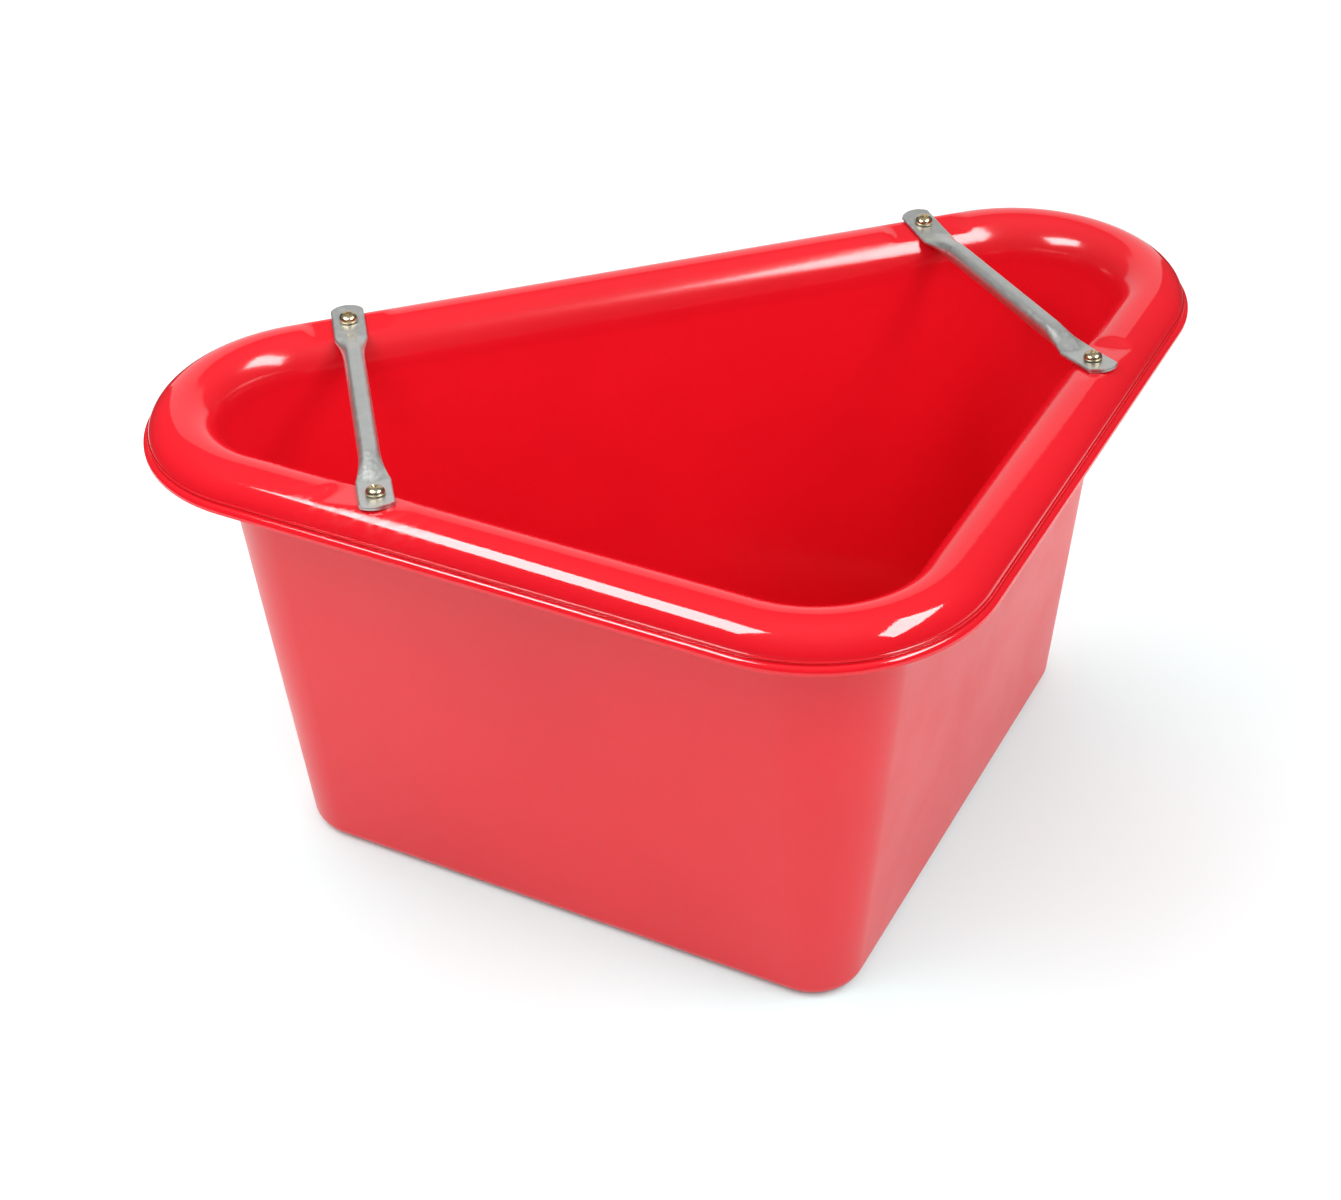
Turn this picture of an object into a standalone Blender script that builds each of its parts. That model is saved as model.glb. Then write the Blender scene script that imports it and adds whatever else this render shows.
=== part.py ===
"""Corner feed manger: a moulded plastic tub with a triangular mouth, and two flattened-end tube bars
bolted across its two narrow ends.

Frame: metres, +Z up, origin at the centre of the footprint on the floor. +X runs along the long
straight side, and -Y points at the right-angled corner.
"""

from math import asin, atan2, cos, degrees, hypot, pi, radians, sin, sqrt, tan

import bmesh
import bpy
from mathutils import Matrix, Vector

# Tub, overall
HEIGHT = 0.306
HALF_LONG = 0.3538  # half the long side of the mouth, with its corners drawn sharp
APEX_RADIUS = 0.058  # mouth's corner radius at the right angle
END_RADIUS = 0.056  # mouth's corner radius at each narrow end
WALL = 0.0032
DRAFT = 0.022  # how far the walls lean in from mouth to floor
FOOT_APEX_RADIUS = 0.031
FOOT_END_RADIUS = 0.039
FOOT_FILLET = 0.009  # radius of the edge between wall and floor

# Rolled rim, measured outward from the mouth's edge and down from its crest
ROLL_INNER = 0.022  # width of the roll's inner quarter
ROLL_INNER_DROP = 0.025
ROLL_OUTER = 0.020  # width of the roll's outer quarter
ROLL_OUTER_DROP = 0.0150
LIP_STEP = 0.0035  # how far the lip stands out beyond the roll
LIP_TOP = 0.0165
LIP_ROUND = 0.0022
LIP_BOTTOM = 0.0215
LIP_WALL = 0.0030

# Seats for the bars' ends, pressed flat into the crest of the roll
LONG_BOLT_X = 0.1857  # bolt on the long side, from the middle
LONG_BOLT_OFFSET = 0.0226  # outward from the mouth's edge
LEG_BOLT_ALONG = 0.2224  # bolt on a short side, from the sharp narrow end
LEG_BOLT_OFFSET = 0.0186
SEAT_DEPTH = 0.0022  # below the crest, at the bolt
SEAT_TILT = radians(8)  # rises outward along the bar
SEAT_FLAT = 0.020  # half length along the rim
SEAT_RAMP = 0.009
LEG_SEAT_SHIFT = -0.003  # seat's middle from its bolt, toward the apex

# Bars
BAR_RADIUS = 0.0062
BAR_HALF_HEIGHT = 0.0056  # the tube is pressed a little flat, top and bottom
BAR_LIFT = 0.0012  # the tube's axis stands this far over the tabs' middle
BAR_WALL = 0.0012
TAB_THICKNESS = 0.0027
TAB_SLIT = 0.0003  # between the two pressed layers
TAB_HALF_WIDTH = 0.0098
TAB_OVERHANG = 0.0146  # bolt to the tip of the tab
TAB_END_ARC = 0.0130
TAB_INNER = 0.0186  # bolt to the crease where the tube begins
NECK_LENGTH = 0.027

# Fasteners
GAP = 0.0003
HOLE_RADIUS = 0.0033
SHANK_RADIUS = 0.0029
SHANK_TAIL = 0.0012  # beyond the nut
HEAD_RADIUS = 0.0054
HEAD_HEIGHT = 0.0042
HEAD_BAND = 0.0009  # upright edge of the pan head
RECESS_SPAN = 0.0056
RECESS_WIDTH = 0.0012
RECESS_DEPTH = 0.0021
WASHER_RADIUS = 0.0058
WASHER_THICKNESS = 0.0016
NUT_FLATS = 0.010
NUT_HEX_HEIGHT = 0.0050
NUT_COLLAR_RADIUS = 0.0046
NUT_HEIGHT = 0.0066
INSERT_RADIUS = 0.0040
INSERT_THICKNESS = 0.0014

# Faceting
END_STEPS = 12
APEX_STEPS = 8  # even, so that one point stands on the apex
ROLL_STEPS = 6
FILLET_STEPS = 3
ROUND_STEPS = 24
HEAD_STEPS = 20
NECK_STEPS = 6

RIM_REACH = ROLL_INNER + ROLL_OUTER + LIP_STEP
APEX_CORNER = Vector((0, -HALF_LONG))
# The rounded apex stops short of the sharp one, which sets the middle of the footprint.
APEX_Y = -HALF_LONG + (sqrt(2) - 1) * APEX_RADIUS - RIM_REACH
CENTRE_Y = (RIM_REACH + APEX_Y) / 2

# Side number: unit normal outward in plan. The long side, then the left and the right short side.
NORMALS = (Vector((0, 1)), Vector((-1, -1)).normalized(), Vector((1, -1)).normalized())
REACH = (0, HALF_LONG / sqrt(2), HALF_LONG / sqrt(2))  # origin to each side of the mouth


def material(name, color, roughness, metallic=0.0):
    made = bpy.data.materials.new(name)
    made.use_nodes = True
    shader = made.node_tree.nodes["Principled BSDF"]
    shader.inputs["Base Color"].default_value = (*color, 1)
    shader.inputs["Roughness"].default_value = roughness
    shader.inputs["Metallic"].default_value = metallic
    return made


def mesh_object(name, bm, finish, smooth_below=radians(35)):
    bmesh.ops.recalc_face_normals(bm, faces=bm.faces)
    mesh = bpy.data.meshes.new(name)
    bm.to_mesh(mesh)
    bm.free()
    mesh.shade_smooth()
    mesh.set_sharp_from_angle(angle=smooth_below)
    mesh.materials.append(finish)
    made = bpy.data.objects.new(name, mesh)
    bpy.context.scene.collection.objects.link(made)
    return made


def skin(bm, rings, closed=False):
    """Quads between each ring of vertices and the next."""
    pairs = list(zip(rings, rings[1:]))
    if closed:
        pairs.append((rings[-1], rings[0]))
    for low, high in pairs:
        for i in range(len(low)):
            j = (i + 1) % len(low)
            bm.faces.new((low[i], low[j], high[j], high[i]))


def turned(profile, steps=ROUND_STEPS, ring=False):
    """A solid turned about Z from (radius, height) points. A ring's profile is a closed loop."""
    bm = bmesh.new()
    rings = []
    for radius, height in profile:
        angles = [2 * pi * k / steps for k in range(steps)]
        rings.append([bm.verts.new((radius * cos(a), radius * sin(a), height)) for a in angles])
    skin(bm, rings, closed=ring)
    if not ring:
        bm.faces.new(rings[0])
        bm.faces.new(rings[-1])
    return bm


def cut(target, tool):
    """Leaves a hidden cutter and an exact Boolean on the target."""
    tool.hide_render = True
    tool.display_type = "WIRE"
    tool.hide_set(True)
    step = target.modifiers.new("cut_" + tool.name, "BOOLEAN")
    step.operation = "DIFFERENCE"
    step.solver = "EXACT"
    step.object = tool


# Plan outline


def corner(side, next_side, offset, radius):
    """Centre of the arc between two sides of the triangle."""
    a, b = NORMALS[side], NORMALS[next_side]
    p, q = REACH[side] + offset - radius, REACH[next_side] + offset - radius
    cross = a.x * b.y - a.y * b.x
    return Vector(((p * b.y - q * a.y) / cross, (q * a.x - p * b.x) / cross))


def stations():
    """For each side, where its extra points stand, as fractions of its straight stretch."""
    marks = (-SEAT_FLAT - SEAT_RAMP, -SEAT_FLAT - SEAT_RAMP / 2, -SEAT_FLAT)
    marks += (-SEAT_FLAT / 2, 0, SEAT_FLAT / 2) + tuple(-m for m in reversed(marks))
    long_half = HALF_LONG - END_RADIUS / tan(pi / 8)
    long_side = [LONG_BOLT_X - m for m in marks] + [0] + [-LONG_BOLT_X - m for m in marks]
    long_side = [(long_half - x) / (2 * long_half) for x in long_side]
    leg_start = END_RADIUS / tan(pi / 8)
    leg_straight = HALF_LONG * sqrt(2) - APEX_RADIUS - leg_start
    leg = [(LEG_BOLT_ALONG + LEG_SEAT_SHIFT + m - leg_start) / leg_straight for m in marks]
    return long_side, leg, [1 - part for part in reversed(leg)]


STATIONS = stations()


def outline(offset, apex_radius, end_radius):
    """Counter-clockwise plan points of the triangle, grown outward by the offset."""
    radii = (end_radius, apex_radius, end_radius)  # after side 0, 1 and 2
    steps = (END_STEPS, APEX_STEPS, END_STEPS)
    centres = [corner(side, (side + 1) % 3, offset, radii[side]) for side in range(3)]
    points = []
    for side in range(3):
        normal = NORMALS[side]
        start = centres[side - 1] + normal * radii[side - 1]
        end = centres[side] + normal * radii[side]
        points += [start.lerp(end, part) for part in STATIONS[side]]
        turn = NORMALS[(side + 1) % 3]
        first = atan2(normal.y, normal.x)
        sweep = (atan2(turn.y, turn.x) - first) % (2 * pi)
        for k in range(steps[side] + 1):
            angle = first + sweep * k / steps[side]
            points.append(centres[side] + radii[side] * Vector((cos(angle), sin(angle))))
    return points


# Seats


def bolts():
    """(bolt in plan, outward direction of its bar in plan, side) for the two ends of each bar."""
    found = {}
    for name, hand in (("left", -1), ("right", 1)):
        normal = Vector((hand, -1)).normalized()
        toward_apex = Vector((-hand, -1)).normalized()
        back = Vector((hand * LONG_BOLT_X, LONG_BOLT_OFFSET))
        front = Vector((hand * HALF_LONG, 0)) + toward_apex * LEG_BOLT_ALONG + normal * LEG_BOLT_OFFSET
        outward = (back - front).normalized()
        seat = front + toward_apex * LEG_SEAT_SHIFT
        found[name + "_back"] = (back, outward, back, Vector((1, 0)))
        found[name + "_front"] = (front, -outward, seat, toward_apex)
    return found


BOLTS = bolts()


def seat_height(bolt, outward, point):
    return HEIGHT - SEAT_DEPTH + tan(SEAT_TILT) * (point - bolt).dot(outward)


def pressed(point, height, drop):
    """Height of a point of the roll, or of its underside at this drop, with the seats pressed in."""
    for bolt, outward, seat, along in BOLTS.values():
        away = abs((point - seat).dot(along))
        if away > SEAT_FLAT + SEAT_RAMP or (point - bolt).length > 0.08:
            continue
        share = 1 - min(1, max(0, away - SEAT_FLAT) / SEAT_RAMP)
        share = share * share * (3 - 2 * share)
        height -= share * max(0, height - (seat_height(bolt, outward, point) - drop))
    return height


def seat_matrix(name):
    """Frame at a bolt on its seat: Z square to the seat, X outward along the bar."""
    bolt, outward, _, _ = BOLTS[name]
    x_axis = Vector((outward.x, outward.y, tan(SEAT_TILT))).normalized()
    y_axis = Vector((-outward.y, outward.x, 0))
    turn = Matrix((x_axis, y_axis, x_axis.cross(y_axis))).transposed().to_4x4()
    spot = Vector((bolt.x, bolt.y - CENTRE_Y, HEIGHT - SEAT_DEPTH))
    return Matrix.Translation(spot) @ turn


# Tub


def quarter(width, drop, thickness, angles):
    """(offset, height) along one elliptic quarter of the roll, or of its underside."""
    wide, tall = width - thickness, drop - thickness
    return [(ROLL_INNER + wide * cos(a), HEIGHT - drop + tall * sin(a)) for a in angles]


def rim_profile():
    """(offset, height, drop) from the mouth's edge over the roll, round the lip and back beneath.

    The drop is the wall's thickness square to the seat on the underside, and None where no seat is pressed."""
    up = [pi - pi / 2 * k / ROLL_STEPS for k in range(ROLL_STEPS + 1)]
    down = [pi / 2 - pi / 2 * k / ROLL_STEPS for k in range(1, ROLL_STEPS + 1)]
    top = quarter(ROLL_INNER, ROLL_INNER_DROP, 0, up) + quarter(ROLL_OUTER, ROLL_OUTER_DROP, 0, down)
    below = quarter(ROLL_OUTER, ROLL_OUTER_DROP, WALL, reversed(down))
    below += quarter(ROLL_INNER, ROLL_INNER_DROP, WALL, reversed(up))
    foot = HEIGHT - LIP_BOTTOM
    lip = [
        (RIM_REACH - LIP_ROUND, HEIGHT - LIP_TOP),
        (RIM_REACH, HEIGHT - LIP_TOP - LIP_ROUND),
        (RIM_REACH, foot),
        (RIM_REACH - LIP_WALL, foot),
        (RIM_REACH - LIP_WALL, HEIGHT - LIP_TOP - LIP_WALL),
    ]
    drop = WALL / cos(SEAT_TILT)
    return (
        [(o, z, 0) for o, z in top]
        + [(o, z, None) for o, z in lip]
        + [(o, z, drop) for o, z in below]
    )


def body_ring(depth, height, inset):
    """(offset, height, apex radius, end radius) on the tapered wall: depth 0 at the mouth, 1 at the floor."""
    offset = WALL - DRAFT * depth
    apex = APEX_RADIUS + WALL + (FOOT_APEX_RADIUS - APEX_RADIUS - WALL) * depth
    end = END_RADIUS + WALL + (FOOT_END_RADIUS - END_RADIUS - WALL) * depth
    return offset - inset, height, apex - inset, end - inset


def fillet(floor, inset, radius):
    """Rings round the edge between the wall and the floor, wall first."""
    wall_top = HEIGHT - ROLL_INNER_DROP
    rings = []
    for k in range(FILLET_STEPS + 1):
        angle = pi / 2 * k / FILLET_STEPS
        height = floor + radius * (1 - sin(angle))
        depth = 1 - (floor + radius) / wall_top
        rings.append(body_ring(depth, height, inset + radius * (1 - cos(angle))))
    return rings


def tub(finish):
    rings = []  # (offset, height, apex radius, end radius, drop)
    inner = fillet(WALL, WALL, FOOT_FILLET - WALL / 2)
    rings += [(*ring, None) for ring in reversed(inner)]
    for offset, height, drop in rim_profile():
        rings.append((offset, height, APEX_RADIUS + offset, END_RADIUS + offset, drop))
    rings += [(*ring, None) for ring in fillet(0, 0, FOOT_FILLET)]
    bm = bmesh.new()
    loops = []
    for offset, height, apex, end, drop in rings:
        loop = []
        for point in outline(offset, apex, end):
            z = height if drop is None else pressed(point, height, drop)
            loop.append(bm.verts.new((point.x, point.y - CENTRE_Y, z)))
        loops.append(loop)
    skin(bm, loops)
    bm.faces.new(loops[0])
    bm.faces.new(loops[-1])
    made = mesh_object("tub", bm, finish)
    for name in BOLTS:
        length = 0.03
        drill = mesh_object("drill_" + name, turned([(HOLE_RADIUS, -length), (HOLE_RADIUS, length)]), finish)
        drill.matrix_world = seat_matrix(name)
        cut(made, drill)
    return made


# Bars


def racetrack(half_width, half_height, part):
    """Point this part of the way round a flattened tube's outline, from the middle of its top."""
    flat = half_width - half_height
    lap = 4 * flat + 2 * pi * half_height
    run = part * lap
    if run <= flat:
        return run, half_height
    run -= flat
    if run <= pi * half_height:
        angle = pi / 2 - run / half_height
        return flat + half_height * cos(angle), half_height * sin(angle)
    run -= pi * half_height
    if run <= 2 * flat:
        return flat - run, -half_height
    run -= 2 * flat
    if run <= pi * half_height:
        angle = -pi / 2 - run / half_height
        return -flat + half_height * cos(angle), half_height * sin(angle)
    return run - pi * half_height - flat, half_height


def section(roundness, inset, part):
    """(across, up) on a section between the pressed tab, roundness 0, and the tube, roundness 1."""
    half_height = TAB_THICKNESS / 2 if inset == 0 else TAB_SLIT / 2
    flat_y, flat_z = racetrack(TAB_HALF_WIDTH - inset, half_height, part)
    angle = pi / 2 - 2 * pi * part
    round_y = (BAR_RADIUS - inset) * cos(angle)
    limit = BAR_HALF_HEIGHT - inset
    round_z = BAR_LIFT + min(limit, max(-limit, (BAR_RADIUS - inset) * sin(angle)))
    return flat_y + (round_y - flat_y) * roundness, flat_z + (round_z - flat_z) * roundness


def bar(name, finish):
    """A tube with both ends pressed flat, bent up to lie on their seats and bolted down."""
    back, front = BOLTS[name + "_back"][0], BOLTS[name + "_front"][0]
    outward = BOLTS[name + "_back"][1]
    half = (back - front).length / 2
    rise = tan(SEAT_TILT)
    tab_middle = HEIGHT - SEAT_DEPTH + (GAP + TAB_THICKNESS / 2) / cos(SEAT_TILT)
    tube_height = tab_middle - TAB_INNER * rise
    crease = half - TAB_INNER
    places = [crease - NECK_LENGTH * (1 - k / NECK_STEPS) for k in range(NECK_STEPS + 1)]
    places.append(half + TAB_OVERHANG)
    bm = bmesh.new()
    walls = []
    for inset in (0, BAR_WALL):
        rings = []
        for along in [-p for p in reversed(places)] + places:
            flatness = max(0, (abs(along) - crease + NECK_LENGTH) / NECK_LENGTH)
            roundness = 0 if flatness >= 1 else 1 - flatness * flatness
            ring = []
            for k in range(ROUND_STEPS):
                across, up = section(roundness, inset, k / ROUND_STEPS)
                reach = abs(along)
                if reach > half:
                    reach -= TAB_END_ARC - sqrt(TAB_END_ARC**2 - across**2)
                lift = max(0, reach - crease) * rise
                ring.append(bm.verts.new((reach if along > 0 else -reach, across, up + lift)))
            rings.append(ring)
        skin(bm, rings)
        walls.append(rings)
    for end in (0, -1):
        skin(bm, [walls[0][end], walls[1][end]])
    made = mesh_object(name + "_bar", bm, finish)
    middle = (back + front) / 2
    made.matrix_world = Matrix.Translation((middle.x, middle.y - CENTRE_Y, tube_height)) @ Matrix.Rotation(
        atan2(outward.y, outward.x), 4, "Z"
    )
    for end in ("_back", "_front"):
        length = 0.004
        profile = [(HOLE_RADIUS, -length), (HOLE_RADIUS, 2 * length)]
        drill = mesh_object("drill_" + name + "_bar" + end, turned(profile), finish)
        drill.matrix_world = seat_matrix(name + end)
        cut(made, drill)
    return made


# Fasteners: heights along the bolt's axis, from the seat


UNDER_HEAD = GAP + TAB_THICKNESS + GAP
WASHER_TOP = -WALL - GAP
NUT_TOP = WASHER_TOP - WASHER_THICKNESS - GAP


def screw(name, place, finish):
    crown = UNDER_HEAD + HEAD_HEIGHT
    dome = []
    for k in range(5):
        angle = pi / 2 * k / 5
        height = UNDER_HEAD + HEAD_BAND + (HEAD_HEIGHT - HEAD_BAND) * sin(angle)
        dome.append((HEAD_RADIUS * cos(angle) ** 0.7, height))
    profile = [(SHANK_RADIUS * 0.8, NUT_TOP - NUT_HEIGHT - SHANK_TAIL)]
    profile += [(SHANK_RADIUS, NUT_TOP - NUT_HEIGHT - SHANK_TAIL / 2), (SHANK_RADIUS, UNDER_HEAD)]
    profile += [(HEAD_RADIUS, UNDER_HEAD), *dome, (HEAD_RADIUS * 0.2, crown)]
    made = mesh_object(name, turned(profile, HEAD_STEPS), finish)
    made.matrix_world = place
    for turn in (0, 1):
        bm = bmesh.new()
        bmesh.ops.create_cube(bm, size=1)
        bmesh.ops.scale(bm, vec=(RECESS_SPAN, RECESS_WIDTH, 2 * RECESS_DEPTH), verts=bm.verts)
        for vert in bm.verts:
            if vert.co.z < 0:
                vert.co.x *= 0.45
        tool = mesh_object(f"cross_{turn}_" + name, bm, finish)
        spin = Matrix.Rotation(radians(20) + turn * pi / 2, 4, "Z")
        tool.matrix_world = place @ Matrix.Translation((0, 0, crown)) @ spin
        cut(made, tool)
    return made


def washer(name, place, finish):
    bottom = WASHER_TOP - WASHER_THICKNESS
    loop = [(HOLE_RADIUS, bottom), (WASHER_RADIUS, bottom), (WASHER_RADIUS, WASHER_TOP), (HOLE_RADIUS, WASHER_TOP)]
    made = mesh_object(name, turned(loop, ring=True), finish)
    made.matrix_world = place
    return made


def nut(name, place, finish):
    """A hexagon with a round collar below it, bored through, with a pocket for its nylon ring."""
    bm = turned([(NUT_FLATS / sqrt(3), NUT_TOP - NUT_HEX_HEIGHT), (NUT_FLATS / sqrt(3), NUT_TOP)], 6)
    made = mesh_object(name, bm, finish)
    made.matrix_world = place
    bottom = NUT_TOP - NUT_HEIGHT
    collar = mesh_object(
        "collar_" + name, turned([(NUT_COLLAR_RADIUS, bottom), (NUT_COLLAR_RADIUS, NUT_TOP - NUT_HEX_HEIGHT / 2)]), finish
    )
    collar.matrix_world = place
    cut(made, collar)
    made.modifiers[-1].operation = "UNION"
    pocket = bottom + INSERT_THICKNESS + 2 * GAP
    bore = [(INSERT_RADIUS + GAP, bottom - 0.002), (INSERT_RADIUS + GAP, pocket)]
    bore += [(HOLE_RADIUS, pocket), (HOLE_RADIUS, NUT_TOP + 0.002)]
    tool = mesh_object("bore_" + name, turned(bore), finish)
    tool.matrix_world = place
    cut(made, tool)
    return made


def insert(name, place, finish):
    bottom = NUT_TOP - NUT_HEIGHT + GAP
    top = bottom + INSERT_THICKNESS
    loop = [(HOLE_RADIUS, bottom), (INSERT_RADIUS, bottom), (INSERT_RADIUS, top), (HOLE_RADIUS, top)]
    made = mesh_object(name, turned(loop, ring=True), finish)
    made.matrix_world = place
    return made


def build():
    for obj in list(bpy.data.objects):
        bpy.data.objects.remove(obj)
    red = material("red_polyethylene", (0.76, 0.012, 0.022), 0.22)
    zinc = material("zinc_plated_tube", (0.47, 0.49, 0.48), 0.38, 1.0)
    brassy = material("yellow_zinc_screw", (0.72, 0.62, 0.38), 0.22, 1.0)
    steel = material("zinc_plated_hardware", (0.58, 0.59, 0.58), 0.32, 1.0)
    nylon = material("nylon_ring", (0.10, 0.22, 0.55), 0.45)
    tub(red)
    for side in ("left", "right"):
        bar(side, zinc)
        for end in ("back", "front"):
            place = seat_matrix(f"{side}_{end}")
            screw(f"{side}_{end}_screw", place, brassy)
            washer(f"{side}_{end}_washer", place, steel)
            nut(f"{side}_{end}_nut", place, steel)
            insert(f"{side}_{end}_nut_insert", place, nylon)


build()
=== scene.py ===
"""Looks for the corner feed manger: a fine moulded tub, two pressed tube bars, and their fasteners,
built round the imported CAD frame, on a white studio sweep."""

from math import atan2, cos, pi, radians, sin, sqrt, tan

import bmesh
import bpy
import numpy as np
from mathutils import Matrix, Vector

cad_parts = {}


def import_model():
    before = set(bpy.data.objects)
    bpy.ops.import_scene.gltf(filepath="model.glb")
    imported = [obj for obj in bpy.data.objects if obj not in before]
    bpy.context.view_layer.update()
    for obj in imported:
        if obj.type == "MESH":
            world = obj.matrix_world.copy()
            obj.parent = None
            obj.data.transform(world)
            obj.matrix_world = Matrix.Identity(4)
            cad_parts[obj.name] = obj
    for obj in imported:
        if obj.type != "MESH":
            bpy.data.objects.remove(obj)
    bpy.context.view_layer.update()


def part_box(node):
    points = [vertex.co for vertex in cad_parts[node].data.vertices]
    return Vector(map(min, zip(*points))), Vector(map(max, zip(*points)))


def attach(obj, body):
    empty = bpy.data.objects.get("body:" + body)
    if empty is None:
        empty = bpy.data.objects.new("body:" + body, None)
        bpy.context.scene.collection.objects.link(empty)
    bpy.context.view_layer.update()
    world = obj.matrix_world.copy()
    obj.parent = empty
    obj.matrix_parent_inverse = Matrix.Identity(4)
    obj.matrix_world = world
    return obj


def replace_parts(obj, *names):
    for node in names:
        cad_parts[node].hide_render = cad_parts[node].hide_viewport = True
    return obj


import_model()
BODY = "root"

# Tub section, as in the CAD model: offsets run outward from the mouth's edge, drops down from the crest
APEX_RADIUS = 0.058
END_RADIUS = 0.056
WALL = 0.0032
DRAFT = 0.022
FOOT_APEX_RADIUS = 0.031
FOOT_END_RADIUS = 0.039
FOOT_FILLET = 0.009
ROLL_INNER = 0.022
ROLL_INNER_DROP = 0.025
ROLL_OUTER = 0.020
ROLL_OUTER_DROP = 0.0150
LIP_STEP = 0.0035
LIP_TOP = 0.0165
LIP_ROUND = 0.0030
LIP_BOTTOM = 0.0215
LIP_WALL = 0.0030
BEAD = 0.0010  # radius of the fine bead between the roll and the lip
BEAD_INSET = 0.0002
BEAD_LIFT = 0.0003
NOOK = 0.0004  # radius of the inner corner where the roll meets the lip
LIP_EDGE = 0.0006  # radius of the lip's lower edges
RIM_REACH = ROLL_INNER + ROLL_OUTER + LIP_STEP

# Seats pressed into the rim
SEAT_TILT = radians(8)
SEAT_FLAT = 0.020
SEAT_RAMP = 0.009
SEAT_SOFT = 0.0008  # rounding of the crease where the seat meets the roll
LEG_SEAT_SHIFT = -0.003
SEAT_REACH = 0.08  # a seat is pressed only this near its bolt

# Bars
BAR_RADIUS = 0.0062
BAR_HALF_HEIGHT = 0.0056
BAR_LIFT = 0.0012
BAR_WALL = 0.0012
TAB_THICKNESS = 0.0027
TAB_SLIT = 0.0003
TAB_HALF_WIDTH = 0.0098
TAB_OVERHANG = 0.0146
TAB_END_ARC = 0.0130
TAB_INNER = 0.0186
NECK_LENGTH = 0.027
NECK_DROP_POWER = 1.3  # how the neck's height falls to the flat tab
PRESS_POWER = 14  # how tightly the tube's flats turn into its sides
NOSE = 0.004  # the tube's rounded nose reaches this far into the tab along its middle
BEND_SOFT = 0.002  # eases the bend between tube and tab

# Fasteners
GAP = 0.0003
HOLE_RADIUS = 0.0033
SHANK_RADIUS = 0.0029
SHANK_TAIL = 0.0012
HEAD_RADIUS = 0.0054
HEAD_HEIGHT = 0.00418
HEAD_BAND = 0.0009
RECESS_SPAN = 0.0056
RECESS_WIDTH = 0.0012
RECESS_DEPTH = 0.0021
RECESS_TAPER = (0.45, 0.75)  # the bottom of each slot against its top, along and across
CROSS_TURN = radians(20)
DOME_POWER = 0.7
THREAD_PITCH = 0.001
THREAD_DEPTH = 0.0002
TIP_SHARE = 0.8  # the shank's end against the shank, across
CROWN_SHARE = 0.12  # the flat on top of the dome against the head, across
HEAD_EDGE = 0.0002
WASHER_RADIUS = 0.0058
WASHER_THICKNESS = 0.0016
NUT_FLATS = 0.010
NUT_HEX_HEIGHT = 0.0050
NUT_COLLAR_RADIUS = 0.0046
NUT_HEIGHT = 0.0066
NUT_CHAMFER = 0.0006
COLLAR_EDGE = (0.0005, 0.0006)  # the collar's chamfer, across and along
BLANK_OVER = 0.0001
BORE_OVER = 0.002
INSERT_RADIUS = 0.0040
INSERT_THICKNESS = 0.0014
UNDER_HEAD = GAP + TAB_THICKNESS + GAP
WASHER_TOP = -WALL - GAP
NUT_TOP = WASHER_TOP - WASHER_THICKNESS - GAP
SCREW_SOFT = 0.00012  # widths of the rounded edges
STEEL_SOFT = 0.00015
NYLON_SOFT = 0.0002
ROUND_STEPS = 56
SHARP = radians(35)  # edges sharper than this stay sharp
TUB_SHARP = radians(60)

# From the frame
tub_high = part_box("tub")[1]
HEIGHT = tub_high.z
CENTRE_Y = RIM_REACH - tub_high.y  # the mouth's long edge, seen from the footprint's middle
HALF_LONG = tub_high.x - RIM_REACH - END_RADIUS + END_RADIUS / tan(pi / 8)

NORMALS = np.array([(0, 1), (-sqrt(0.5), -sqrt(0.5)), (sqrt(0.5), -sqrt(0.5))])
REACH = (0, HALF_LONG * sqrt(0.5), HALF_LONG * sqrt(0.5))


# Mesh helpers


def new_object(name, bm, finishes, sharp=SHARP):
    """Links a smooth-shaded object made from the bmesh, with its finishes."""
    mesh = bpy.data.meshes.new(name)
    bm.to_mesh(mesh)
    bm.free()
    mesh.shade_smooth()
    mesh.set_sharp_from_angle(angle=sharp)
    for finish in finishes:
        mesh.materials.append(finish)
    made = bpy.data.objects.new(name, mesh)
    bpy.context.scene.collection.objects.link(made)
    return made


def skin(bm, rings, closed=False, finish=0):
    """Joins each ring of points to the next one."""
    pairs = list(zip(rings, rings[1:]))
    if closed:
        pairs.append((rings[-1], rings[0]))
    for low, high in pairs:
        for i in range(len(low)):
            j = (i + 1) % len(low)
            bm.faces.new((low[i], low[j], high[j], high[i])).material_index = finish


def turned(profile, steps, ring=False):
    """A solid turned about Z from (radius, height) points. A ring's profile is a closed loop."""
    bm = bmesh.new()
    angles = [2 * pi * k / steps for k in range(steps)]
    rings = [[bm.verts.new((r * cos(a), r * sin(a), z)) for a in angles] for r, z in profile]
    skin(bm, rings, closed=ring)
    if not ring:
        bm.faces.new(rings[0])
        bm.faces.new(rings[-1])
    bmesh.ops.recalc_face_normals(bm, faces=bm.faces)
    return bm


def boolean(target, tool, operation="DIFFERENCE"):
    """Applies an exact Boolean and removes the tool."""
    step = target.modifiers.new("boolean", "BOOLEAN")
    step.operation = operation
    step.solver = "EXACT"
    step.object = tool
    apply_modifiers(target)
    bpy.data.objects.remove(tool)


def apply_modifiers(piece):
    """Replaces the mesh by its modified result."""
    graph = bpy.context.evaluated_depsgraph_get()
    mesh = bpy.data.meshes.new_from_object(piece.evaluated_get(graph))
    piece.modifiers.clear()
    old = piece.data
    piece.data = mesh
    bpy.data.meshes.remove(old)


# Bolts


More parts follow.
